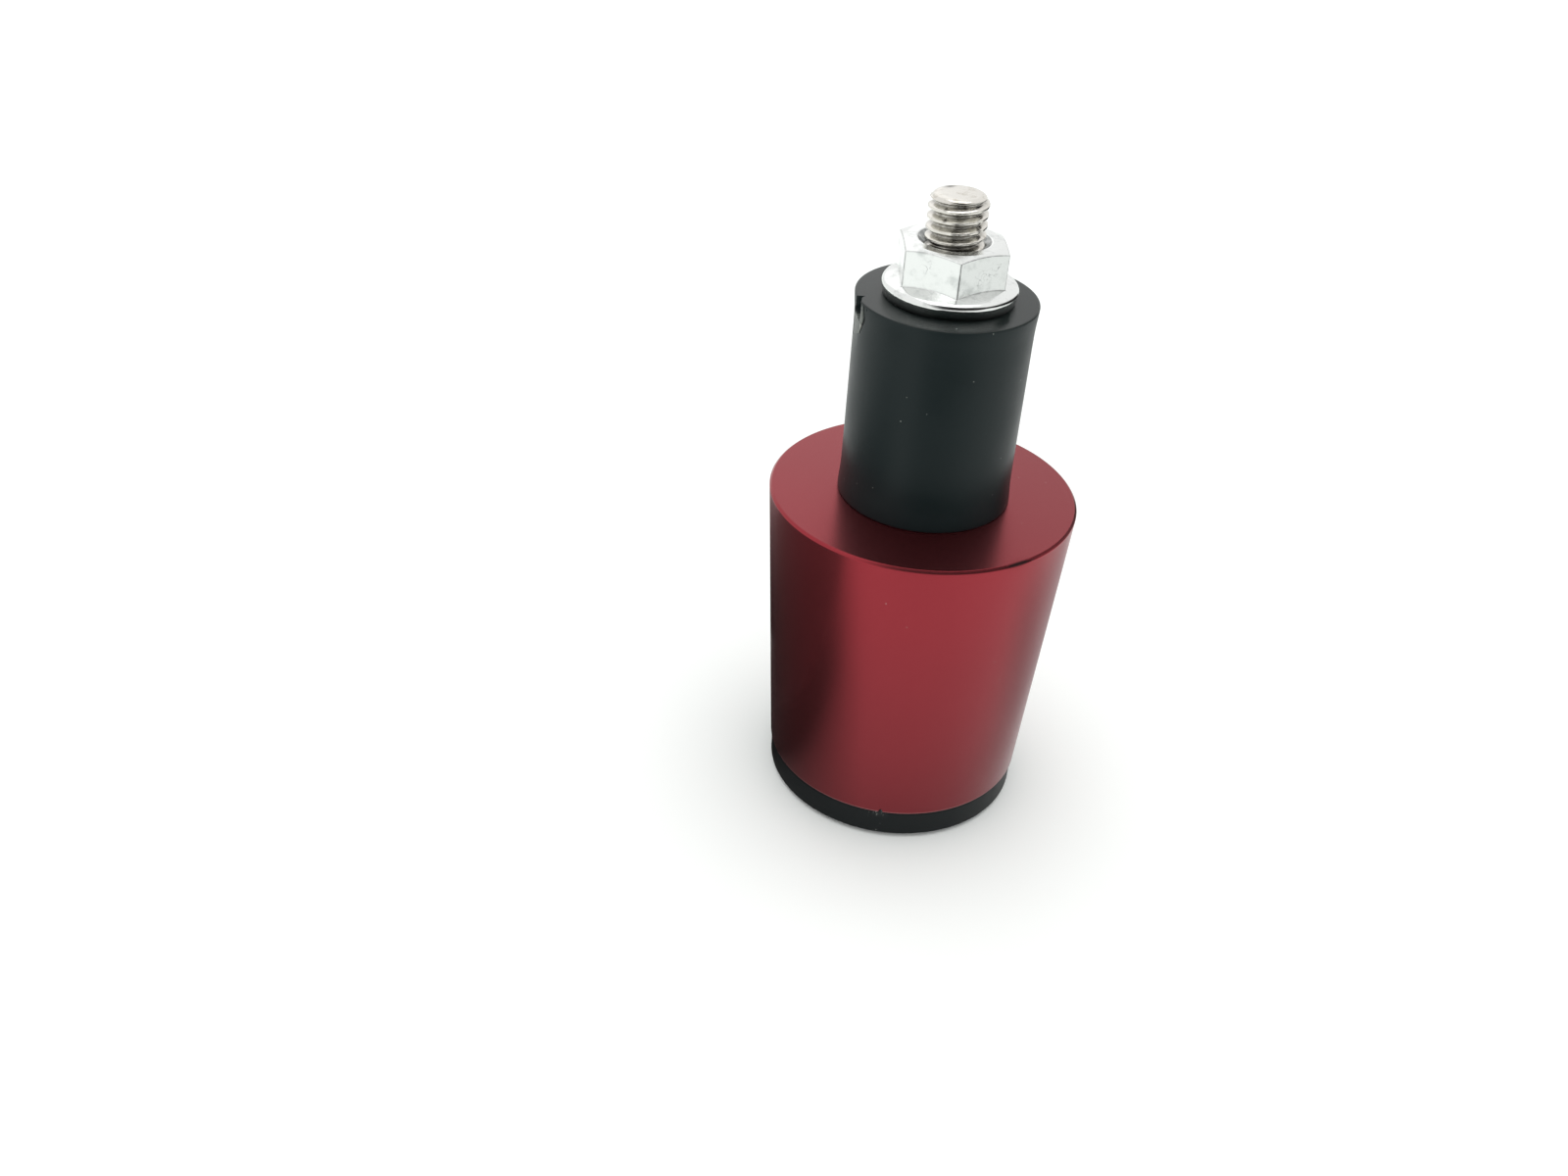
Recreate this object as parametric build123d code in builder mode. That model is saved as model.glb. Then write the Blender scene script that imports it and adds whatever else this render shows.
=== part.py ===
"""Handlebar end weight: a tapered metal weight with a rubber bush that swells when one long screw is tightened.

The screw's axis is Z. The cap's outer face is at height zero, and the screw's tip points up, into the handlebar.
"""

import os
from math import cos, pi, radians, tan

from build123d import *

# Driving dimensions, in millimetres and degrees

# Weight body: a turned cone, wider at the handlebar's end
body_small_diameter = 28.9
body_large_diameter = 32.7
body_length = 33.45
body_rim_chamfer = 0.35
body_foot_chamfer = 0.15

# End cap: a moulded disc, with a cup behind it that the screw's head sits in
cap_inset = 0.2
cap_height = 3.6
cap_bevel_width = 2.5
cap_bevel_height = 0.5
cap_mouth_chamfer = 0.3
cup_wall = 1.85
cup_floor = 1.6
cup_side_clearance = 0.1
cup_end_clearance = 0.2

# Expander bush: a rubber tube, with a chip torn out of its upper rim
bush_diameter = 17.9
bush_length = 21.85
bush_rim_chamfer = 0.2
chip_depth = 0.45
chip_radius = 3.2
chip_drop = 1.0
chip_angle = 197.0

# Screw: metric six, with a hexagon socket in its head
screw_diameter = 5.95
head_diameter = 10.0
head_height = 6.0
head_recess = 2.85
head_rounding = 0.6
head_clearance = 0.65
socket_across_flats = 5.0
socket_depth = 3.0
socket_point_angle = 30.0
hole_clearance = 0.3
screw_protrusion = 4.45
tip_chamfer = 0.4

# Flange nut: metric six, its height counted from the seat of the flange
nut_across_flats = 10.0
nut_height = 5.8
nut_chamfer_angle = 20.0
nut_chamfer_inset = 0.4
nut_turn = 9.4
flange_overhang = 0.98
flange_rim_height = 1.6
flange_rim_rounding = 0.6
flange_angle = 18.0
nut_running_clearance = 0.08
countersink_width = 0.55

# Heights along the screw's axis
body_foot_z = cap_height
body_top_z = body_foot_z + body_length
bush_top_z = body_top_z + bush_length
nut_top_z = bush_top_z + nut_height
screw_tip_z = nut_top_z + screw_protrusion
head_seat_z = head_recess + head_height
cup_end_z = head_seat_z + cup_floor

# Radii that fit each other
screw_radius = screw_diameter / 2
head_radius = head_diameter / 2
hole_radius = screw_radius + hole_clearance
key_hole_radius = head_radius + head_clearance
cup_radius = key_hole_radius + cup_wall
cap_radius = body_small_diameter / 2 - cap_inset
bush_radius = bush_diameter / 2
nut_bore_radius = screw_radius + nut_running_clearance
nut_corner_radius = nut_across_flats / 2 / cos(pi / 6)
flange_radius = nut_corner_radius + flange_overhang

os.makedirs("parts", exist_ok=True)

# Weight body: a cone with a through hole, and a counterbore in its foot for the cap's cup
with BuildPart() as weight_body:
    with BuildSketch(Plane.XZ):
        with BuildLine():
            Polyline(
                (hole_radius, body_top_z),
                (body_large_diameter / 2, body_top_z),
                (body_small_diameter / 2, body_foot_z),
                (cup_radius + cup_side_clearance, body_foot_z),
                (cup_radius + cup_side_clearance, cup_end_z + cup_end_clearance),
                (hole_radius, cup_end_z + cup_end_clearance),
                close=True,
            )
        make_face()
    revolve(axis=Axis.Z)
    rim = weight_body.edges().filter_by(GeomType.CIRCLE).sort_by(SortBy.RADIUS)[-1]
    chamfer(rim, body_rim_chamfer)
    foot = weight_body.faces().sort_by(Axis.Z)[0].edges().sort_by(SortBy.RADIUS)[-1]
    chamfer(foot, body_foot_chamfer)

weight_body.part.label = "weight_body"
export_step(weight_body.part, "parts/weight_body.step")

# End cap: a bevelled disc, whose cup reaches into the weight and has the screw's head on its floor
with BuildPart() as end_cap:
    with BuildSketch(Plane.XZ):
        with BuildLine():
            Polyline(
                (key_hole_radius, 0),
                (cap_radius - cap_bevel_width, 0),
                (cap_radius, cap_bevel_height),
                (cap_radius, cap_height),
                (cup_radius, cap_height),
                (cup_radius, cup_end_z),
                (hole_radius, cup_end_z),
                (hole_radius, head_seat_z),
                (key_hole_radius, head_seat_z),
                close=True,
            )
        make_face()
    revolve(axis=Axis.Z)
    mouth = end_cap.faces().sort_by(Axis.Z)[0].edges().sort_by(SortBy.RADIUS)[0]
    chamfer(mouth, cap_mouth_chamfer)

end_cap.part.label = "end_cap"
export_step(end_cap.part, "parts/end_cap.step")

# Expander bush: a tube on the weight's top face, with broken rims and the chip scooped out of the upper one
with BuildPart() as expander_bush:
    with BuildSketch(Plane.XY.offset(body_top_z)):
        Circle(bush_radius)
        Circle(hole_radius, mode=Mode.SUBTRACT)
    extrude(amount=bush_length)
    rims = expander_bush.edges().filter_by(GeomType.CIRCLE).group_by(SortBy.RADIUS)[-1]
    chamfer(rims, bush_rim_chamfer)
    with Locations((0, 0, bush_top_z - chip_drop)):
        with PolarLocations(bush_radius + chip_radius - chip_depth, 1, start_angle=chip_angle):
            Sphere(chip_radius, mode=Mode.SUBTRACT)

expander_bush.part.label = "expander_bush"
export_step(expander_bush.part, "parts/expander_bush.step")

# Flange nut: a chamfered hexagon that grows out of a conical flange
with BuildPart() as flange_nut:
    with BuildSketch(Plane.XY.offset(bush_top_z)):
        RegularPolygon(nut_across_flats / 2, 6, major_radius=False, rotation=nut_turn - 90)
    extrude(amount=nut_height)
    with BuildSketch(Plane.XZ):
        crown_radius = nut_across_flats / 2 - nut_chamfer_inset
        crown_drop = (nut_corner_radius - crown_radius) * tan(radians(nut_chamfer_angle))
        with BuildLine():
            Polyline(
                (0, bush_top_z),
                (nut_corner_radius, bush_top_z),
                (nut_corner_radius, nut_top_z - crown_drop),
                (crown_radius, nut_top_z),
                (0, nut_top_z),
                close=True,
            )
        make_face()
    revolve(axis=Axis.Z, mode=Mode.INTERSECT)
    with BuildSketch(Plane.XZ):
        rim_top_z = bush_top_z + flange_rim_height
        cone_top_z = rim_top_z + (flange_radius - nut_bore_radius) * tan(radians(flange_angle))
        with BuildLine():
            Polyline(
                (0, bush_top_z),
                (flange_radius, bush_top_z),
                (flange_radius, rim_top_z),
                (nut_bore_radius, cone_top_z),
                (0, cone_top_z),
                close=True,
            )
        make_face()
        rim_corner = vertices().group_by(Axis.X)[-1].sort_by(Axis.Y)[-1]
        fillet(rim_corner, flange_rim_rounding)
    revolve(axis=Axis.Z)
    with BuildSketch(Plane.XZ):
        with BuildLine():
            Polyline(
                (0, bush_top_z),
                (nut_bore_radius, bush_top_z),
                (nut_bore_radius, nut_top_z - countersink_width),
                (nut_bore_radius + countersink_width, nut_top_z),
                (0, nut_top_z),
                close=True,
            )
        make_face()
    revolve(axis=Axis.Z, mode=Mode.SUBTRACT)

flange_nut.part.label = "flange_nut"
export_step(flange_nut.part, "parts/flange_nut.step")

# Socket screw: the head in the cap's cup, the shank through the whole stack, and the tip above the nut
with BuildPart() as socket_bolt:
    with BuildSketch(Plane.XZ):
        with BuildLine():
            Polyline(
                (0, head_recess),
                (head_radius, head_recess),
                (head_radius, head_seat_z),
                (screw_radius, head_seat_z),
                (screw_radius, screw_tip_z),
                (0, screw_tip_z),
                close=True,
            )
        make_face()
    revolve(axis=Axis.Z)
    head_edge = socket_bolt.faces().sort_by(Axis.Z)[0].edges()
    fillet(head_edge, head_rounding)
    tip_edge = socket_bolt.faces().sort_by(Axis.Z)[-1].edges()
    chamfer(tip_edge, tip_chamfer)
    with BuildSketch(Plane.XY.offset(head_recess)):
        RegularPolygon(socket_across_flats / 2, 6, major_radius=False)
    extrude(amount=socket_depth, mode=Mode.SUBTRACT)
    point_height = socket_across_flats / 2 * tan(radians(socket_point_angle))
    with BuildSketch(Plane.XZ):
        with BuildLine():
            Polyline(
                (0, head_recess),
                (socket_across_flats / 2, head_recess),
                (socket_across_flats / 2, head_recess + socket_depth),
                (0, head_recess + socket_depth + point_height),
                close=True,
            )
        make_face()
    revolve(axis=Axis.Z, mode=Mode.SUBTRACT)

socket_bolt.part.label = "socket_bolt"
export_step(socket_bolt.part, "parts/socket_bolt.step")
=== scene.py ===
"""Looks of a handlebar end weight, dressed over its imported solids.

A turned red weight stands on a moulded black cap. A torn rubber bush rises from it, and one long screw runs
through them all to a flange nut. The classes hold their sizes in millimetres and degrees, in the part's own
frame, whose Z axis is the screw's axis. Columns of a mesh go round that axis and rows go along a profile.
"""

import logging
from dataclasses import dataclass
from enum import Enum
from math import cos, pi, radians, sin, sqrt, tan
from typing import Sequence

import bpy
import numpy as np
from mathutils import Matrix, Vector


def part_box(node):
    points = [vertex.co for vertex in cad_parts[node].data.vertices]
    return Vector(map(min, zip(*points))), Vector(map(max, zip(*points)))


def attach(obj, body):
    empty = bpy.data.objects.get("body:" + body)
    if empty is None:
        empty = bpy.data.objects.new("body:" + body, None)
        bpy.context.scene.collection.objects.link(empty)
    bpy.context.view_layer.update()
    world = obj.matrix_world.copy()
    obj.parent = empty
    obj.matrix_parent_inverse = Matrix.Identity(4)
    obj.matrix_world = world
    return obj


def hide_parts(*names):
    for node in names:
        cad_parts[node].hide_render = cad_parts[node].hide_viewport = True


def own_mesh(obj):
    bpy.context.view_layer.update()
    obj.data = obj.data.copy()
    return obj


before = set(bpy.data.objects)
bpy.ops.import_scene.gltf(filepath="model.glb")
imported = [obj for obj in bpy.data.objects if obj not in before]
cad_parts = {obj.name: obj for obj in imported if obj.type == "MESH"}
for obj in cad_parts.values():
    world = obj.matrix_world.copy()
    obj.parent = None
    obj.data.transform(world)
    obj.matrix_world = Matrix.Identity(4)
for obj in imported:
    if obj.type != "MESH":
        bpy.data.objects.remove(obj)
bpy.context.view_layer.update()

LOG = logging.getLogger("bar_end_weight")
MM = 0.001
PHOTO_WIDTH_PX = 1600

# Sockets of the Mix node when it mixes colours
FACTOR, COLOUR_A, COLOUR_B, MIXED = 0, 6, 7, 2

# Shares of a profile's leg: the most that an arc takes of it, and the most that its end rows lie inside it
ARC_SHARE, MARGIN_SHARE = 0.45, 0.3

Array = np.ndarray
Size = float | Array
Tree = bpy.types.NodeTree
Socket = bpy.types.NodeSocket
Finish = bpy.types.Material
Piece = bpy.types.Object


class Carrier(Enum):
    """The bodies that pieces ride on."""

    WEIGHT = "weight"
    SCREW = "screw"
    NUT = "nut"


class Slot(Enum):
    """The record's material slots."""

    BODY = "anodised_body"
    CAP = "cap_plastic"
    BUSH = "bush_rubber"
    NUT = "zinc_nut"
    SCREW = "nickel_screw"


# Shapes


@dataclass(frozen=True)
class Span:
    """Where a solid lies on the screw's axis and how far out it reaches, in millimetres."""

    low: float
    high: float
    reach: float

    @classmethod
    def of(cls, node: str) -> "Span":
        """Reads a solid's heights and its largest radius from the frame."""
        low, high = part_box(node)
        return cls(low.z / MM, high.z / MM, high.x / MM)


@dataclass(frozen=True)
class Path:
    """Rows of a profile: radius and height by column, and the corner that a row rounds or -1 on a leg."""

    radius: Array
    height: Array
    corner: Array

    def over(self, columns: int) -> tuple[Array, Array]:
        """Radius and height, repeated for a number of columns and free to be changed."""
        shape = (len(self.corner), columns)
        return np.broadcast_to(self.radius, shape).copy(), np.broadcast_to(self.height, shape).copy()


def rounded_path(
    corners: Sequence[tuple[Size, Size]],
    radii: Sequence[float],
    legs: Sequence[int],
    closed: bool,
    margin: float = 0.12,
    arc_rows: int = 5,
) -> Path:
    """Profile through corners, each turned into an arc that touches both of its legs.

    The arc's centre lies on the corner's bisector, at radius / sin(half the angle between the legs), and its
    rows are slerped from one touching point to the other. A leg has a row close to each end, so that the arc
    beside it doesn't bend the shading of a flat face.

    Args:
        corners: radius and height of each corner, as numbers or as arrays over the columns.
        radii: rounding of each corner, nought for a sharp one.
        legs: evenly spaced rows inside each leg, where leg k leaves corner k.
        closed: whether the last corner joins the first.
        margin: distance of a leg's end rows from its arcs.
        arc_rows: rows of each arc.

    Returns:
        The rows, in the corners' order.
    """
    columns = max(np.size(value) for corner in corners for value in corner)
    place = np.array([[np.broadcast_to(value, columns) for value in corner] for corner in corners], float)
    place = place.transpose(0, 2, 1)
    back, ahead = np.roll(place, 1, 0) - place, np.roll(place, -1, 0) - place
    back_length, ahead_length = np.linalg.norm(back, axis=2), np.linalg.norm(ahead, axis=2)
    back /= back_length[..., None]
    ahead /= ahead_length[..., None]
    half = np.arccos(np.clip(np.sum(back * ahead, 2), -1, 1)) / 2
    most = ARC_SHARE * np.minimum(back_length, ahead_length)
    reach = np.minimum(np.array(radii)[:, None] / np.tan(half), most)
    inside = np.array([closed or 0 < k < len(corners) - 1 for k in range(len(corners))])
    rounded = inside & (np.array(radii) > 0)
    reach *= rounded[:, None]
    bisector = back + ahead
    bisector /= np.maximum(np.linalg.norm(bisector, axis=2), 1e-9)[..., None]
    centre = place + bisector * (reach / np.cos(half))[..., None]
    start, end = place + back * reach[..., None], place + ahead * reach[..., None]
    rows, tags = [], []
    for k in range(len(corners)):
        turn = np.clip(pi - 2 * half[k], 1e-6, pi - 1e-6)[:, None]
        for share in np.linspace(0, 1, arc_rows) if rounded[k] else (0.0,):
            before = np.sin((1 - share) * turn) / np.sin(turn) * (start[k] - centre[k])
            after = np.sin(share * turn) / np.sin(turn) * (end[k] - centre[k])
            rows.append(centre[k] + before + after)
            tags.append(k)
        if not closed and k == len(corners) - 1:
            break
        leg = start[(k + 1) % len(corners)] - end[k]
        inset = margin / np.maximum(np.linalg.norm(leg, axis=1), 1e-9)
        inset = np.minimum(inset, MARGIN_SHARE)[:, None]
        for share in np.linspace(0, 1, legs[k] + 2):
            rows.append(end[k] + leg * (inset + share * (1 - 2 * inset)))
            tags.append(-1)
    stacked = np.array(rows)
    return Path(stacked[..., 0], stacked[..., 1], np.array(tags))


def column_angles(count: int, focus: float = 0.0, width: float = 0.0, extra: int = 0) -> Array:
    """Angles of a mesh's columns: evenly spaced, with extra ones packed about one direction.

    Args:
        count: evenly spaced columns.
        focus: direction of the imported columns, in degrees.
        width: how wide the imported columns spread, in degrees.
        extra: packed columns.

    Returns:
        Rising angles in radians.
    """
    even = np.linspace(0, 2 * pi, count, endpoint=False)
    packed = np.radians(focus + np.linspace(-width / 2, width / 2, extra)) % (2 * pi)
    return np.unique(np.round(np.concatenate([even, packed]), 5))


def rounded_hexagon(
    across: float,
    corner: float,
    turn: float,
    flat: int,
    arc: int,
) -> tuple[Array, Array, Array]:
    """Outline of a hexagon with rounded corners, in polar form.

    A corner's arc is centred where the corner of a hexagon smaller by its radius lies, and swings 30 degrees
    to each side. The points of a flat are spread evenly between two arcs.

    Args:
        across: distance across the flats.
        corner: radius of the corners.
        turn: direction of the first corner, in degrees.
        flat: points on each flat.
        arc: points on each corner.

    Returns:
        Rising angles, radii, and one on each corner's points with nought elsewhere.
    """
    way = radians(turn) + np.arange(6)[:, None] * pi / 3
    swing = np.linspace(-pi / 6, pi / 6, arc)
    hub = (across / 2 - corner) / cos(pi / 6)
    arcs = hub * np.exp(1j * way) + corner * np.exp(1j * (way + swing))
    share = np.linspace(0.02, 0.98, flat)
    flats = arcs[:, -1:] + (np.roll(arcs[:, :1], -1, 0) - arcs[:, -1:]) * share
    outline = np.concatenate([arcs, flats], 1).ravel()
    on_corner = np.concatenate([np.ones(arcs.shape), np.zeros(flats.shape)], 1).ravel()
    return np.unwrap(np.angle(outline)), np.abs(outline), on_corner


def arc_from(angles: Array, direction: float, radius: float) -> Array:
    """Signed arc length from a direction in degrees to each angle, on a circle of that radius."""
    return radius * ((angles - radians(direction) + pi) % (2 * pi) - pi)


def bell(distance: Array, width: float) -> Array:
    """Smooth bump of height one: exp of minus the square of distance over width."""
    return np.exp(-((distance / width) ** 2))


def ease(value: Array, low: float, high: float) -> Array:
    """Smooth step: nought below low, one above high, 3 t squared less 2 t cubed between them."""
    share = np.clip((value - low) / (high - low), 0, 1)
    return share * share * (3 - 2 * share)


def ripple(seed: int, wavelength: float, *place: Array) -> Array:
    """Uneven swell about nought: seeded sine waves in random directions, over the root of their count.

    Args:
        seed: which swell it is.
        wavelength: middle length of the waves, in the units of the place.
        place: coordinates, one array for each dimension.

    Returns:
        The swell at each place, mostly between -1 and 1.
    """
    random = np.random.default_rng(seed)
    waves = 9
    total = np.zeros(np.broadcast_shapes(*[np.shape(axis) for axis in place]))
    for _ in range(waves):
        direction = random.normal(size=len(place))
        direction *= 2 * pi / wavelength * random.uniform(0.6, 1.6) / np.linalg.norm(direction)
        phase = random.uniform(0, 2 * pi)
        total += np.sin(sum(k * axis for k, axis in zip(direction, place)) + phase)
    return total / sqrt(waves)


def skin(
    name: str,
    angles: Array,
    radius: Array,
    height: Array,
    closed: bool,
    marks: dict[str, Array] | None = None,
) -> Piece:
    """Mesh of a surface about Z, whose points are (radius cos angle, radius sin angle, height).

    A profile that runs up its outer wall faces outwards. A closed one joins its last row to its first, as
    round a ring's section. An open one starts and ends on the axis, where one point closes each end.

    Args:
        name: the object's name.
        angles: angle of each column.
        radius: radius of each row and column, in millimetres.
        height: height of each row and column, in millimetres.
        closed: whether the profile is closed.
        marks: values of each row and column that the finish reads by name.

    Returns:
        The object, at the origin.
    """
    rows, columns = radius.shape
    points = np.stack([radius * np.cos(angles), radius * np.sin(angles), height], -1).reshape(-1, 3)
    index = np.arange(rows * columns).reshape(rows, columns)
    beside = np.roll(index, -1, 1)
    quads = np.stack([index, beside, np.roll(beside, -1, 0), np.roll(index, -1, 0)], -1)
    faces = (quads if closed else quads[:-1]).reshape(-1, 4).tolist()
    if not closed:
        poles = np.array([[0, 0, height[0].mean()], [0, 0, height[-1].mean()]])
        first, last = len(points), len(points) + 1
        points = np.concatenate([points, poles])
        faces += np.stack([np.full(columns, first), beside[0], index[0]], -1).tolist()
        faces += np.stack([index[-1], beside[-1], np.full(columns, last)], -1).tolist()
    mesh = bpy.data.meshes.new(name)
    mesh.from_pydata(points * MM, [], faces)
    for mark, values in (marks or {}).items():
        spread = np.zeros(len(points), np.float32)
        spread[: rows * columns] = np.broadcast_to(values, (rows, columns)).ravel()
        mesh.attributes.new(mark, "FLOAT", "POINT").data.foreach_set("value", spread)
    mesh.shade_smooth()
    made = bpy.data.objects.new(name, mesh)
    bpy.context.scene.collection.objects.link(made)
    return made


def seat(piece: Piece, node: str, carrier: Carrier, finish: Finish) -> None:
    """Gives a piece its finish, sets it on its body and lets it stand for its solid.

    Args:
        piece: the finished mesh object.
        node: the solid that the piece replaces.
        carrier: the body that it rides on.
        finish: the piece's material.
    """
    piece.data.materials.append(finish)
    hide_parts(node)
    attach(piece, carrier.value)
    LOG.info("%s stands for %s, with %d faces", piece.name, node, len(piece.data.polygons))


# Finishes


def linear(code: str) -> tuple[float, float, float, float]:
    """Turns an sRGB hex colour into linear red, green, blue and alpha."""
    channels = [int(code[k : k + 2], 16) / 255 for k in (1, 3, 5)]
    bright = [c / 12.92 if c <= 0.04045 else ((c + 0.055) / 1.055) ** 2.4 for c in channels]
    return (*bright, 1.0)


def add(tree: Tree, kind: str, feeds: dict | None = None, **settings: object) -> bpy.types.Node:
    """Adds one node to a tree.

    Args:
        tree: the node tree.
        kind: the node's type, without the words ShaderNode.
        feeds: for each input socket, by name or number, a value or the output socket that is linked to it.
        settings: the node's own properties.

    Returns:
        The new node.
    """
    node = tree.nodes.new("ShaderNode" + kind)
    for name, value in settings.items():
        setattr(node, name, value)
    for socket, value in (feeds or {}).items():
        if isinstance(value, Socket):
            tree.links.new(value, node.inputs[socket])
        else:
            node.inputs[socket].default_value = value
    return node


def blank(name: str) -> tuple[Finish, Tree]:
    """Makes a material with an empty node tree."""
    material = bpy.data.materials.new(name)
    material.use_nodes = True
    material.node_tree.nodes.clear()
    return material, material.node_tree


def per_mm(size: float) -> float:
    """Scale of a pattern on object coordinates, in metres, whose features measure size millimetres."""
    return 1 / (size * MM)


def layered(tree: Tree, base: str, layers: Sequence[tuple]) -> Socket:
    """Colour of a base under layers, each of which covers what lies below it by its own share.

    Args:
        tree: the node tree.
        base: the base's sRGB hex colour.
        layers: a share's socket and an sRGB hex colour for each layer, from the lowest up.

    Returns:
        The mixed colour's socket.
    """
    colour = linear(base)
    for share, over in layers:
        laid = {FACTOR: share, COLOUR_A: colour, COLOUR_B: linear(over)}
        colour = add(tree, "Mix", laid, data_type="RGBA").outputs[MIXED]
    return colour


def grains(tree: Tree, place: Socket, cell: float, size: float) -> Socket:
    """Dust: a round grain about the middle of each Voronoi cell that the surface passes closely enough.

    Args:
        tree: the node tree.
        place: the object coordinates.
        cell: size of the cells, in millimetres.
        size: radius of the grains, in millimetres.

    Returns:
        The socket of a share that is one on a grain and nought elsewhere.
    """
    away = add(tree, "TexVoronoi", {"Vector": place, "Scale": per_mm(cell)}).outputs["Distance"]
    edge = size / cell
    spot = {"Value": away, "From Min": edge, "From Max": 0.6 * edge, "To Min": 0.0, "To Max": 1.0}
    return add(tree, "MapRange", spot).outputs[0]


@dataclass(frozen=True)
class AnodisedAluminium:
    """Aluminium turned on a lathe, dyed red and sealed: a satin metal under a thin clear oxide."""

    name: str = "anodised_aluminium"
    dye: str = "#761e26"
    # The lighter dye shows in the clouds and in painted shade that darkens the wall towards its foot.
    dye_cloud_and_painted_light: str = "#932731"
    # Painted shade in the nick: a near-black red.
    nick_shade: str = "#1c0406"
    # Painted highlight: a pale pink band along the foot's edge.
    foot_highlight: str = "#c98f90"
    dust: str = "#b9aca6"
    cloud_mm: float = 7.0
    cloud_share: float = 0.12
    dust_cell_mm: float = 2.2
    dust_mm: float = 0.06
    roughness: float = 0.27
    metal_share: float = 0.93
    oxide_weight: float = 0.36
    oxide_roughness: float = 0.5

    def material(self) -> Finish:
        """A faintly clouded dye with painted shade towards the foot and in a nick, a painted foot-edge
        highlight, and dust grains.

        Returns:
            The material. It reads the marks thin, worn and nick.
        """
        material, tree = blank(self.name)
        place = add(tree, "TexCoord").outputs["Object"]
        marks = ("thin", "foot_highlight", "nick")
        thin, foot_highlight, nick = [add(tree, "Attribute", attribute_name=mark).outputs["Fac"] for mark in marks]
        cloud = {"Vector": place, "Scale": per_mm(self.cloud_mm), "Detail": 3.0}
        cloud = add(tree, "TexNoise", cloud).outputs[0]
        cloud = add(tree, "Math", {0: cloud, 1: 0.5}, operation="SUBTRACT").outputs[0]
        # Painted shade: the mark thin lays the lighter dye up the wall, so the dye darkens towards the foot.
        thin = {0: cloud, 1: self.cloud_share, 2: thin}
        thin = add(tree, "Math", thin, operation="MULTIPLY_ADD").outputs[0]
        dusty = grains(tree, place, self.dust_cell_mm, self.dust_mm)
        layers = [(thin, self.dye_cloud_and_painted_light), (dusty, self.dust), (foot_highlight, self.foot_highlight), (nick, self.nick_shade)]
        shader = {
            "Base Color": layered(tree, self.dye, layers),
            "Metallic": self.metal_share,
            "Roughness": self.roughness,
            "Coat Weight": self.oxide_weight,
            "Coat Roughness": self.oxide_roughness,
        }
        shader = add(tree, "BsdfPrincipled", shader).outputs[0]
        add(tree, "OutputMaterial", {"Surface": shader})
        return material


@dataclass(frozen=True)
class BlackPolymer:
    """Black rubber or plastic, as it left its mould: dull, a little green, finely grained and dusty."""

    name: str
    black: str
    black_worn: str
    # The cut end's lighter black is painted light on the top face.
    end_black_painted_light: str
    scuff: str
    roughness: float
    roughness_swing: float
    specular: float
    grain_mm: float
    grain_height_mm: float
    end_polish: float = 0.0
    scuff_gain: float = 1.7
    mottle_mm: float = 5.0
    dust: str = "#a8aca6"
    dust_cell_mm: float = 1.7
    dust_mm: float = 0.055

    def material(self) -> Finish:
        """A mottled black with a grained surface, smoother on a cut end and lighter there as painted light,
        pale where it is torn or rubbed.

        Returns:
            The material. It reads the marks scuff and end.
        """
        material, tree = blank(self.name)
        place = add(tree, "TexCoord").outputs["Object"]
        marks = ("scuff", "end")
        rubbed, end = [add(tree, "Attribute", attribute_name=mark).outputs["Fac"] for mark in marks]
        mottle = {"Vector": place, "Scale": per_mm(self.mottle_mm), "Detail": 4.0, "Roughness": 0.6}
        mottle = add(tree, "TexNoise", mottle).outputs[0]
        fine = {"Vector": place, "Scale": per_mm(self.grain_mm), "Detail": 3.0}
        fine = add(tree, "TexNoise", fine).outputs[0]
        torn = add(tree, "Math", {0: rubbed, 1: fine}, operation="MULTIPLY").outputs[0]
        torn = {0: torn, 1: self.scuff_gain}
        torn = add(tree, "Math", torn, operation="MULTIPLY", use_clamp=True).outputs[0]
        dusty = grains(tree, place, self.dust_cell_mm, self.dust_mm)
        layers = [(mottle, self.black_worn), (end, self.end_black_painted_light), (torn, self.scuff), (dusty, self.dust)]
        dull = {
            "Value": mottle,
            "From Min": 0.3,
            "From Max": 0.7,
            "To Min": self.roughness - self.roughness_swing,
            "To Max": self.roughness + self.roughness_swing,
        }
        dull = add(tree, "MapRange", dull).outputs[0]
        smooth = add(tree, "Math", {0: end, 1: self.end_polish}, operation="MULTIPLY").outputs[0]
        dull = add(tree, "Math", {0: dull, 1: smooth}, operation="SUBTRACT").outputs[0]
        grained = {"Height": fine, "Strength": 1.0, "Distance": self.grain_height_mm * MM}
        grained = add(tree, "Bump", grained).outputs[0]
        shader = {
            "Base Color": layered(tree, self.black, layers),
            "Roughness": dull,
            "Normal": grained,
            "Specular IOR Level": self.specular,
        }
        shader = add(tree, "BsdfPrincipled", shader).outputs[0]
        add(tree, "OutputMaterial", {"Surface": shader})
        return material


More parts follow.
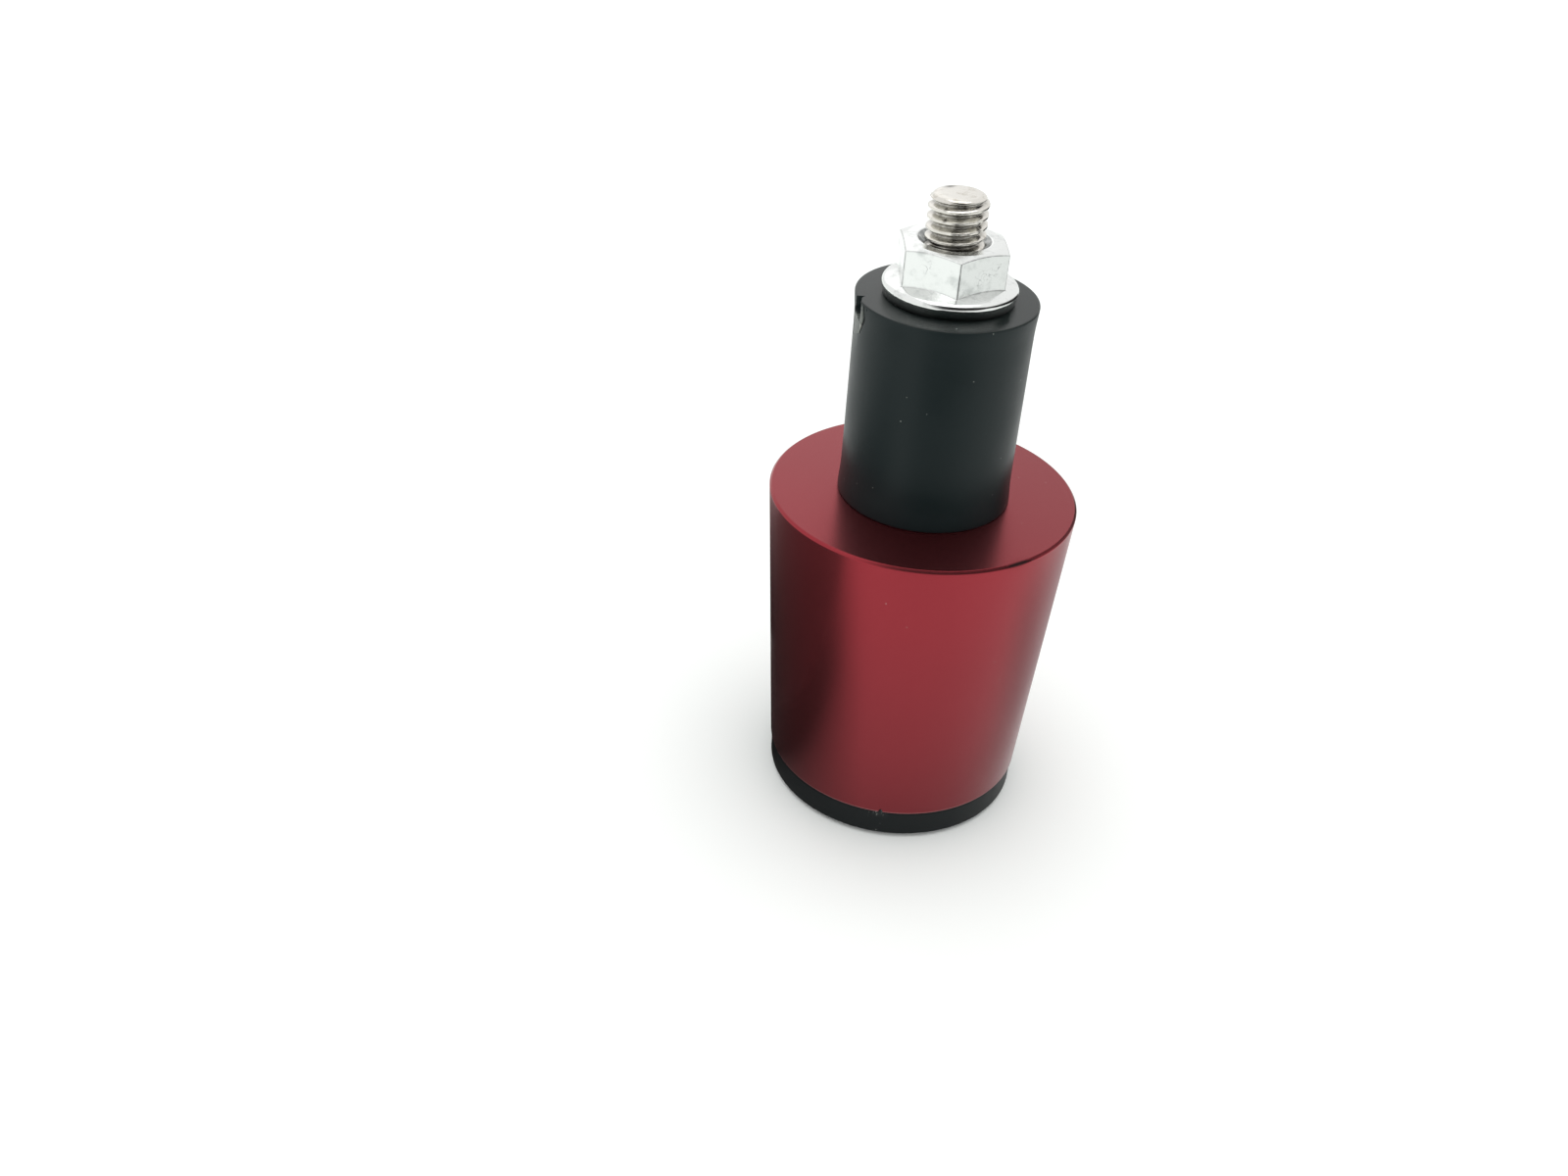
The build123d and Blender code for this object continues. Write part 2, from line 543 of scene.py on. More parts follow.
@dataclass(frozen=True)
class PlatedSteel:
    """Steel under a thin bright plating: a mirror dulled by handling, with dirt and painted shade in its
    lines and hollows.
    """

    name: str
    plate: str
    plate_dull: str
    # Colour of dirt and of painted shade alike.
    dirt: str
    roughness: float
    roughness_swing: float
    smudge_mm: float
    scratch_mm: float = 0.22
    scratch_stretch: float = 7.0
    scratch_height_mm: float = 0.004
    dirt_grain_mm: float = 0.5
    curl_mm: float = 0.55
    curl_share: float = 0.035
    curl_dark: float = 0.65

    def material(self) -> Finish:
        """Smudges, hair scratches, curling scratches, and dirt and painted shade where the marks say.

        A curling scratch is a contour line of a noise: it lies where the noise is close to its middle.

        Returns:
            The material. It reads the marks grime, stain and scratched.
        """
        material, tree = blank(self.name)
        place = add(tree, "TexCoord").outputs["Object"]
        marks = ("grime_and_shade", "stain_and_shade", "scratched")
        marks = [add(tree, "Attribute", attribute_name=mark).outputs["Fac"] for mark in marks]
        grime_and_shade, stain_and_shade, scratched = marks
        smudge = {"Vector": place, "Scale": per_mm(self.smudge_mm), "Detail": 5.0, "Roughness": 0.62}
        smudge = add(tree, "TexNoise", smudge).outputs[0]
        hairs = {"Vector": place, "Scale": (1.0, self.scratch_stretch, 1.0), "Rotation": (0.5, 0.9, 0.4)}
        hairs = add(tree, "Mapping", hairs).outputs[0]
        hairs = {"Vector": hairs, "Scale": per_mm(self.scratch_mm * self.scratch_stretch), "Detail": 2.0}
        hairs = add(tree, "TexNoise", hairs).outputs[0]
        patch = {"Value": smudge, "From Min": 0.5, "From Max": 0.72, "To Min": 0.0, "To Max": 1.0}
        patch = add(tree, "MapRange", patch, interpolation_type="SMOOTHSTEP").outputs[0]
        broken = {"Vector": place, "Scale": per_mm(self.dirt_grain_mm), "Detail": 3.0}
        broken = add(tree, "TexNoise", broken).outputs[0]
        broken = {"Value": broken, "From Min": 0.25, "From Max": 0.6, "To Min": 0.35, "To Max": 1.0}
        broken = add(tree, "MapRange", broken).outputs[0]
        # The two marks lay dirt and painted shade alike in the dark colour.
        dirt_and_shade_share = add(tree, "Math", {0: grime_and_shade, 1: broken}, operation="MULTIPLY", use_clamp=True).outputs[0]
        curl = {"Vector": place, "Scale": per_mm(self.curl_mm), "Detail": 1.5}
        curl = add(tree, "TexNoise", curl).outputs[0]
        curl = add(tree, "Math", {0: curl, 1: 0.5}, operation="SUBTRACT").outputs[0]
        curl = add(tree, "Math", {0: curl}, operation="ABSOLUTE").outputs[0]
        near = {"From Min": self.curl_share, "From Max": 0.0, "To Min": 0.0, "To Max": self.curl_dark}
        curl = {"Value": curl, **near}
        curl = add(tree, "MapRange", curl, interpolation_type="SMOOTHSTEP").outputs[0]
        curl = add(tree, "Math", {0: curl, 1: scratched}, operation="MULTIPLY").outputs[0]
        dirt_and_shade_share = add(tree, "Math", {0: dirt_and_shade_share, 1: curl}, operation="MAXIMUM").outputs[0]
        dirt_and_shade_share = add(tree, "Math", {0: dirt_and_shade_share, 1: stain_and_shade}, operation="MAXIMUM").outputs[0]
        colour = layered(tree, self.plate, [(patch, self.plate_dull), (dirt_and_shade_share, self.dirt)])
        gloss = {
            "Value": smudge,
            "From Min": 0.3,
            "From Max": 0.7,
            "To Min": self.roughness - self.roughness_swing,
            "To Max": self.roughness + self.roughness_swing,
        }
        gloss = add(tree, "MapRange", gloss).outputs[0]
        marred = {"Height": hairs, "Strength": 1.0, "Distance": self.scratch_height_mm * MM}
        marred = add(tree, "Bump", marred).outputs[0]
        shader = {"Base Color": colour, "Metallic": 1.0, "Roughness": gloss, "Normal": marred}
        shader = add(tree, "BsdfPrincipled", shader).outputs[0]
        add(tree, "OutputMaterial", {"Surface": shader})
        return material


# Pieces


@dataclass(frozen=True)
class WeightBody:
    """The weight: a cone, wide at the bush, with a hole through it and a counterbore for the cap's cup."""

    span: Span
    foot_radius: float = 14.45
    foot_chamfer: float = 0.15
    rim_chamfer: float = 0.25
    hole_radius: float = 3.275
    counterbore_radius: float = 7.6
    counterbore_top: float = 10.65
    edge_break: float = 0.07
    nick_angle: float = 309.5
    nick_length: float = 1.45
    nick_width: float = 0.17
    nick_depth: float = 0.06
    # How strong the painted shade in the nick is.
    nick_shade_strength: float = 1.7
    # The painted highlight along the foot's edge: its strength, width and reach in from the edge.
    foot_highlight_strength: float = 0.45
    foot_highlight_width: float = 0.06
    foot_highlight_reach: float = 0.1
    # Painted shade on the wall, darker towards the foot: how far in the wall reaches at its foot, and the top
    # face's fixed share of lighter dye.
    wall_taper: float = 2.0
    top_painted_light_share: float = 0.6
    columns: int = 360
    nick_columns: int = 60
    nick_spread: float = 16.0

    def build(self) -> Piece:
        """Turns the section about Z and knocks a nick into the rim.

        The nick pushes the chamfer in along its slope, by a bell along the rim times a bell across it.

        Returns:
            The weight's mesh object, with the marks nick, thin and worn.
        """
        rim = self.span.high - self.rim_chamfer
        corners = [
            (self.counterbore_radius, self.span.low),
            (self.foot_radius - self.foot_chamfer, self.span.low),
            (self.foot_radius, self.span.low + self.foot_chamfer),
            (self.span.reach, rim),
            (self.span.reach - self.rim_chamfer, self.span.high),
            (self.hole_radius, self.span.high),
            (self.hole_radius, self.counterbore_top),
            (self.counterbore_radius, self.counterbore_top),
        ]
        path = rounded_path(corners, [self.edge_break] * 8, [4, 0, 40, 0, 16, 8, 2, 4], closed=True)
        angles = column_angles(self.columns, self.nick_angle, self.nick_spread, self.nick_columns)
        radius, height = path.over(len(angles))
        along = arc_from(angles, self.nick_angle, self.span.reach)
        middle = self.rim_chamfer / 2
        across = np.hypot(radius - self.span.reach + middle, height - self.span.high + middle)
        nick = bell(along, self.nick_length) * bell(across, self.nick_width)
        radius -= self.nick_depth * nick
        height -= self.nick_depth * nick
        # Painted shade: thin runs from nought at the wall's foot to one at its top; the top face takes a
        # fixed share.
        rise = (height - self.span.low) / (self.span.high - self.span.low)
        on_wall = radius > self.span.reach - self.rim_chamfer - self.wall_taper * (1 - rise)
        # Painted highlight: a pale band on the foot's chamfered edge.
        foot_edge = bell(height - self.span.low - self.foot_chamfer, self.foot_highlight_width)
        foot_edge = foot_edge * (radius > self.foot_radius - self.foot_highlight_reach)
        marks = {
            # The nick's colour is painted shade in the dent.
            "nick": np.clip(self.nick_shade_strength * nick, 0, 1),
            "thin": np.where(on_wall, rise, self.top_painted_light_share),
            "foot_highlight": self.foot_highlight_strength * foot_edge,
        }
        return skin("weight_shell", angles, radius, height, True, marks)


@dataclass(frozen=True)
class EndCap:
    """The moulded cap: a disc with a bevelled face, a key hole, and a cup that the screw's head sits in."""

    span: Span
    disc_height: float = 3.6
    bevel_width: float = 2.5
    bevel_height: float = 0.5
    bevel_rounding: float = 0.22
    seam_rounding: float = 0.34
    key_hole_radius: float = 5.65
    mouth_chamfer: float = 0.3
    cup_radius: float = 7.5
    head_seat: float = 8.85
    hole_radius: float = 3.275
    edge_rounding: float = 0.18
    burr_angle: float = 269.5
    burr_out: float = 0.42
    burr_up: float = 0.65
    burr_width: float = 0.46
    burr_lumps: tuple[tuple[float, float, float], ...] = (
        (0.0, 0.4, 1.0),
        (-0.75, 0.22, 0.45),
        (0.62, 0.2, 0.35),
    )
    speck_place: float = -0.4
    speck_spread: tuple[float, float] = (0.8, 0.6)
    speck_size: float = 0.3
    speck_level: float = 1.15
    columns: int = 300
    burr_columns: int = 70
    burr_spread: float = 12.0

    def build(self) -> Piece:
        """Turns the section about Z and raises a torn burr from the edge at the seam.

        The burr lifts the upper edge out and up, by a few bells side by side. Each has a place, a width and a
        height. Pale specks lie about it where an uneven swell is high.

        Returns:
            The cap's mesh object, with the mark scuff.
        """
        corners = [
            (self.key_hole_radius + self.mouth_chamfer, self.span.low),
            (self.span.reach - self.bevel_width, self.span.low),
            (self.span.reach, self.span.low + self.bevel_height),
            (self.span.reach, self.disc_height),
            (self.cup_radius, self.disc_height),
            (self.cup_radius, self.span.high),
            (self.hole_radius, self.span.high),
            (self.hole_radius, self.head_seat),
            (self.key_hole_radius, self.head_seat),
            (self.key_hole_radius, self.span.low + self.mouth_chamfer),
        ]
        soft, plain = self.bevel_rounding, self.edge_rounding
        radii = [plain, soft, soft, self.seam_rounding, plain, plain, plain, plain, plain, plain]
        path = rounded_path(corners, radii, [10, 6, 8, 6, 4, 3, 1, 3, 4, 0], closed=True)
        angles = column_angles(self.columns, self.burr_angle, self.burr_spread, self.burr_columns)
        radius, height = path.over(len(angles))
        along = arc_from(angles, self.burr_angle, self.span.reach)
        lumps = sum(tall * bell(along - place, width) for place, width, tall in self.burr_lumps)
        across = np.hypot(radius - self.span.reach, height - self.disc_height)
        burr = lumps * bell(across, self.burr_width)
        radius += self.burr_out * burr
        height += self.burr_up * burr
        wide, tall = self.speck_spread
        specks = bell(across, tall) * bell(along - self.speck_place, wide)
        specks *= ripple(11, self.speck_size, along, height) > self.speck_level
        return skin("cap_moulding", angles, radius, height, True, {"scuff": specks})


@dataclass(frozen=True)
class ExpanderBush:
    """The rubber bush: a plain tube, with a piece torn out of its upper rim and the skin scraped below it.

    A point of a line is a drop and a place along, and any other place or size is along and down. A swell has
    a height and a length, and an edge that fades in has a start and an end.
    """

    span: Span
    hole_radius: float = 3.275
    rim_break: float = 0.14
    bore_break: float = 0.1
    end_edge: tuple[float, float] = (0.12, 0.02)
    flare: float = 0.16
    flare_reach: float = 1.7
    tear_angle: float = 198.5
    left_points: tuple[tuple[float, float], ...] = (
        (0.0, -0.25),
        (0.9, -0.3),
        (1.55, -0.9),
        (1.85, -0.45),
        (2.2, 0.92),
    )
    right_points: tuple[tuple[float, float], ...] = (
        (0.0, 1.15),
        (0.35, 1.45),
        (1.1, 1.31),
        (1.9, 1.05),
        (2.2, 0.92),
    )
    rag_coarse: tuple[float, float] = (0.07, 0.9)
    rag_fine: tuple[float, float] = (0.04, 0.3)
    tear_depth: float = 0.6
    tear_edge: float = 0.14
    tear_wave: tuple[float, float] = (0.05, 0.5)
    wedge_least: float = 0.12
    wedge_power: float = 0.7
    lip_depth: float = 0.25
    lip_place: float = 0.16
    lip_width: float = 0.14
    flap_height: float = 0.07
    flap_edge: float = 0.3
    flap_top: tuple[float, float] = (0.1, 0.4)
    crack_width: float = 0.07
    crack_depth: float = 0.2
    crack_top: tuple[float, float] = (0.1, 0.25)
    crack_side: tuple[float, float] = (0.05, 0.14)
    crack_points: tuple[tuple[float, float], ...] = (
        (0.0, 1.9),
        (0.5, 2.02),
        (1.5, 2.15),
        (2.35, 1.7),
        (3.03, 1.31),
        (3.5, 1.05),
    )
    scrape_left: float = 1.5
    scrape_drop: float = 3.93
    scrape_lean: float = 0.44
    scrape_depth: float = 0.05
    scrape_edge: float = 0.1
    scrape_side: float = 0.2
    scrape_top: tuple[float, float] = (1.7, 2.0)
    # Painted highlight on the gouge's lower lip: its place and size.
    lip_highlight_place: tuple[float, float] = (-0.07, 2.0)
    lip_highlight_size: tuple[float, float] = (0.08, 0.13)
    rub_length: float = 2.2
    rub_edge: float = 0.6
    pit_place: tuple[float, float] = (2.66, 0.3)
    pit_width: float = 0.07
    pit_depth: float = 0.12
    fine_drop: float = 7.0
    flap_pale: float = 0.5
    scrape_pale: float = 0.42
    rub_pale: float = 0.2
    columns: int = 220
    tear_columns: int = 150
    tear_spread: float = 40.0

    def tear(self, along: Array, drop: Array) -> tuple[Array, Array]:
        """Depth of the torn place, and how pale it is.

        The gouge is a leaf between two lines on the unrolled wall, through points that give a drop and a
        place along. It is a wedge, deepest along its left lip. A flap of skin stands up between the gouge
        and a crack, which runs through points too. Below the gouge the skin is scraped, and rubbed more
        faintly below that. The edges are smooth steps a tenth of a millimetre or so wide, made ragged by an
        uneven swell.

        Args:
            along: arc length from the tear's middle.
            drop: distance below the bush's top face.

        Returns:
            Depth in millimetres, negative where the flap stands out, and the paleness from nought to one.
        """
        (coarse, coarse_length), (fine, fine_length) = self.rag_coarse, self.rag_fine
        ragged = coarse * ripple(3, coarse_length, along, drop) + fine * ripple(4, fine_length, along, drop)
        lines = [self.left_points, self.right_points, self.crack_points]
        left_line, right_line, crack_line = [np.interp(drop, *zip(*points)) for points in lines]
        from_left, from_right = along - left_line, right_line - along
        bottom = self.left_points[-1][0]
        from_bottom = bottom - drop
        inside = np.minimum(from_left, from_right) + 0.6 * ragged
        gouge = ease(inside, 0.0, self.tear_edge) * (from_bottom > 0)
        lip = gouge * bell(from_left + 0.6 * ragged - self.lip_place, self.lip_width)
        crack_line = crack_line + 0.4 * ragged - along
        over_scrape = self.scrape_drop - self.scrape_lean * along + 0.5 * ragged - drop
        above = ease(over_scrape, 0.0, self.scrape_edge)
        crack = bell(crack_line, self.crack_width) * above * ease(drop, *self.crack_top)
        left = ease(along + self.scrape_left + 0.5 * ragged, 0.0, self.scrape_side)
        skinned = left * ease(crack_line, *self.crack_side) * above * (1 - gouge)
        flap = skinned * ease(-from_right, 0.0, self.flap_edge) * ease(drop, *self.flap_top)
        scrape = skinned * ease(-np.minimum(from_left, from_bottom), 0.0, self.scrape_edge)
        scrape = scrape * ease(drop, *self.scrape_top)
        # Painted highlight: a pale spot along the gouge's lower lip, added to the paleness.
        (highlight_along, highlight_drop), (wide, tall) = self.lip_highlight_place, self.lip_highlight_size
        white = bell(from_left - highlight_along, wide) * bell(drop - highlight_drop, tall)
        rub = left * ease(crack_line, 0.0, self.rub_edge) * (1 - above)
        rub *= 1 - ease(-over_scrape, 0.0, self.rub_length)
        pit = bell(np.hypot(along - self.pit_place[0], drop - self.pit_place[1]), self.pit_width)
        wave, wave_length = self.tear_wave
        floor = wave * ripple(5, wave_length, along, drop)
        wedge = from_right / np.maximum(from_left + from_right, 0.05)
        wedge = np.clip(wedge, self.wedge_least, 1) ** self.wedge_power
        depth = gouge * (self.tear_depth * wedge + floor) + self.lip_depth * lip
        depth = depth + self.scrape_depth * scrape + self.crack_depth * crack + self.pit_depth * pit
        pale = self.flap_pale * flap + self.scrape_pale * scrape + self.rub_pale * rub + white
        return depth - self.flap_height * flap, np.clip(pale * (1 - crack), 0, 1)

    def build(self) -> Piece:
        """Turns the section about Z, flares its ends a little and pulls the torn place in towards the axis.

        Returns:
            The bush's mesh object, with the marks scuff and end.
        """
        outer = self.span.reach
        corners = [
            (self.hole_radius, self.span.low),
            (outer, self.span.low),
            (outer, self.span.high - self.fine_drop),
            (outer, self.span.high),
            (self.hole_radius, self.span.high),
        ]
        rounding, bore = self.rim_break, self.bore_break
        path = rounded_path(corners, [bore, rounding, 0.0, rounding, bore], [8, 20, 110, 24, 20], closed=True)
        angles = column_angles(self.columns, self.tear_angle, self.tear_spread, self.tear_columns)
        radius, height = path.over(len(angles))
        along = np.broadcast_to(arc_from(angles, self.tear_angle, outer), radius.shape)
        drop, rise = self.span.high - height, height - self.span.low
        depth, pale = self.tear(along, drop)
        on_wall = ease(radius, outer - 2 * rounding, outer - 0.5 * rounding)
        outside = radius > outer - 2 * self.tear_depth
        pulled = np.minimum(radius, outer - depth)
        lifted = radius - np.minimum(depth, 0) * on_wall
        torn = np.where(outside, np.where(depth > 0, pulled, lifted), radius)
        swollen = self.flare * (bell(drop, self.flare_reach) + bell(rise, self.flare_reach))
        torn = torn + swollen * outside
        end = ease(height, *[self.span.high - below for below in self.end_edge])
        return skin("bush_rubber", angles, torn, height, True, {"scuff": pale * on_wall, "end": end})

    def squeeze(self, bush: Piece) -> None:
        """Gives the bush a mesh of its own."""
        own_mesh(bush)


@dataclass(frozen=True)
class Thread:
    """A right-hand metric thread about Z, which the screw and the nut share."""

    major: float = 2.965
    depth: float = 0.6
    pitch: float = 1.0
    crest_height: float = 0.28
    crest_share: float = 0.13
    root_share: float = 0.84

    def away(self, angles: Array, heights: Array) -> Array:
        """Nought on a crest, one in a root: twice how far height / pitch - angle / 2 pi is off a turn."""
        turns = (heights - self.crest_height) / self.pitch - angles / (2 * pi)
        return 2 * np.abs((turns + 0.5) % 1 - 0.5)

    def radius(self, angles: Array, heights: Array) -> Array:
        """Radius of the screw's flanks: straight from crest to root, half softened as rolling leaves them."""
        away = self.away(angles, heights)
        flank = np.clip((self.root_share - away) / (self.root_share - self.crest_share), 0, 1)
        return self.major - self.depth * (1 - 0.5 * flank - 0.5 * ease(flank, 0, 1))


@dataclass(frozen=True)
class FlangeNut:
    """The nut: a hexagon with a chamfered crown that grows out of a conical flange, threaded inside."""

    span: Span
    thread: Thread
    across_flats: float = 10.0
    corner_turn: float = -80.6
    corner_rounding: float = 0.09
    crown_inset: float = 0.4
    crown_angle: float = 20.0
    flange_rim_height: float = 1.43
    flange_rim_rounding: float = 0.6
    flange_spread: float = 0.1
    flange_off_centre: float = 0.12
    flange_lean: float = 0.38
    flange_foot_rounding: float = 0.2
    flange_angle: float = 21.2
    edge_rounding: float = 0.07
    mouth_radius: float = 3.605
    thread_clearance: float = 0.07
    minor_radius: float = 2.5
    bore_rows: int = 90
    flat_columns: int = 36
    corner_columns: int = 7
    rim_wave: float = 0.012
    rim_wave_length: float = 0.5
    rim_wave_width: float = 0.22
    rim_band: float = 0.4
    front_flats: tuple[float, float] = (249.4, 309.4)
    # Painted shade in the crease where the cone meets the flats, and dark lines along the crown's edge and
    # the corners:
    foot_crease_shade: tuple[float, float, float] = (0.1, 0.12, 0.3)
    crown_edge_dark: tuple[float, float, float] = (0.45, -0.2, -0.05)
    corner_edge_dark: float = 0.6
    # Dirt and painted shade in the bore and its countersinks.
    bore_dirt_and_shade: float = 0.7
    # Painted shade on the flange's wall: where it starts below the rim, and how dark it gets at the seat.
    wall_shade_start: float = 0.45
    wall_painted_shade: float = 0.85
    # Painted shade on the right front flat.
    right_flat_painted_shade: float = 0.18
    # Painted shade in the mouth's countersink on the left: its direction and width.
    mouth_shade_angle: float = 212.0
    mouth_shade_width: float = 0.5
    scratches: tuple[tuple[float, float, float, float], ...] = (
        (313.0, 3.7, 1.5, 1.0),
        (326.0, 4.3, 0.9, 0.9),
        (302.0, 3.3, 0.9, 0.7),
        (244.0, 4.3, 0.4, 0.6),
    )

    def build(self) -> Piece:
        """Carries one profile round the hexagon's outline, with cone and crown cut where they meet its flats.

        In a column whose hexagon has radius r, the cone meets the flat at rim height + (flange radius - r)
        times the tangent of its angle, and the crown leaves it at top - (r - crown radius) times that of its
        own. The bore is the screw's thread, wider by the clearance, no narrower than the tapped hole, and
        widened by a countersink at each end. Painted shade along the crease at the cone's foot and a dark
        line along the crown's edge have one strength all round, and what the left and the right of the front
        flats add to it; the corners carry dark lines too. Painted shade also darkens the flange's wall
        towards its foot, the right front flat and the left of the mouth, and dirt and painted shade fill the
        bore. Each scratched spot has an angle, a rise above the seat, a width and a height.

        Returns:
            The nut's mesh object, with the marks grime, stain and scratched.
        """
        sizes = (self.across_flats, self.corner_rounding, self.corner_turn)
        angles, wall, on_corner = rounded_hexagon(*sizes, self.flat_columns, self.corner_columns)
        flange = self.span.reach + self.flange_spread + self.flange_off_centre * np.cos(angles)
        rim_top = self.span.low + self.flange_rim_height
        meeting = rim_top + (flange - wall) * tan(radians(self.flange_angle))
        crown = self.across_flats / 2 - self.crown_inset
        crown_line = self.span.high - (wall - crown) * tan(radians(self.crown_angle))
        corners = [
            (self.mouth_radius, self.span.low),
            (flange - self.flange_lean, self.span.low),
            (flange, rim_top),
            (wall, meeting),
            (wall, crown_line),
            (crown, self.span.high),
            (self.mouth_radius, self.span.high),
        ]
        edge = self.edge_rounding
        radii = [0.0, self.flange_foot_rounding, self.flange_rim_rounding, edge, edge, edge, 0.0]
        path = rounded_path(corners, radii, [4, 5, 6, 8, 4, 5, 0], closed=False, arc_rows=8)
        radius, height = path.over(len(angles))
        wave = ripple(21, self.rim_wave_length, flange * np.cos(angles), flange * np.sin(angles))
        rolled = bell(height - rim_top + self.flange_rim_rounding, self.rim_wave_width)
        rolled = rolled * (radius > flange - self.rim_band)
        radius = radius - rolled * self.rim_wave * (1 + wave)
        depths = np.linspace(self.span.high, self.span.low, self.bore_rows + 2)[1:-1, None]
        bore = self.thread.radius(angles, depths) + self.thread_clearance
        upper = self.mouth_radius - (self.span.high - depths)
        lower = self.mouth_radius - (depths - self.span.low)
        bore = np.maximum(np.maximum(bore, self.minor_radius), np.maximum(upper, lower))
        left, right = [np.abs(arc_from(angles, way, 1.0)) < pi / 6 for way in self.front_flats]
        at_foot, at_crown = path.corner == 3, path.corner == 4
        rows = np.arange(len(path.corner))
        between = (rows >= np.argmax(at_foot)) & (rows <= np.argmax(at_crown))
        sides = np.stack([np.ones(len(angles)), left, right])
        # Painted shade along the crease at the cone's foot, more on the right front flat; dark lines on the
        # crown's edge and corners.
        foot_line = at_foot[:, None] * (self.foot_crease_shade @ sides)
        crown_edge = at_crown[:, None] * (self.crown_edge_dark @ sides)
        lines = np.maximum.reduce([foot_line, crown_edge, self.corner_edge_dark * between[:, None] * on_corner])
        # The bore and its countersinks take dirt and painted shade.
        grime_and_shade = np.concatenate([lines, np.full(bore.shape, self.bore_dirt_and_shade)])
        # Painted shade: the flange's wall darkens towards the seat.
        wall_drop = rim_top - self.wall_shade_start - height
        wall_painted_shade = self.wall_painted_shade * ease(wall_drop, 0.0, self.flange_rim_height - self.wall_shade_start)
        wall_painted_shade = wall_painted_shade * (radius > flange - self.rim_band)
        # Painted shade: the right front flat is darkened.
        right_flat_shade = self.right_flat_painted_shade * between[:, None] * right
        # Painted shade: the bore and countersink darken towards the left of the mouth.
        mouth_shade = bell(arc_from(angles, self.mouth_shade_angle, 1.0), self.mouth_shade_width) * np.ones(bore.shape)
        stain_and_shade = np.concatenate([np.maximum(wall_painted_shade, right_flat_shade), mouth_shade])
        scratched = np.zeros(radius.shape)
        for way, rise, wide, tall in self.scratches:
            aside = arc_from(angles, way, self.across_flats / 2) / wide
            spot = bell(np.hypot(aside, (height - self.span.low - rise) / tall), 1.0)
            scratched = np.maximum(scratched, spot * between[:, None])
        scratched = np.concatenate([scratched, np.zeros(bore.shape)])
        radius = np.concatenate([radius, bore])
        height = np.concatenate([height, np.broadcast_to(depths, bore.shape)])
        marks = {"grime_and_shade": grime_and_shade, "stain_and_shade": stain_and_shade, "scratched": scratched}
        return skin("nut_plated", angles, radius, height, True, marks)


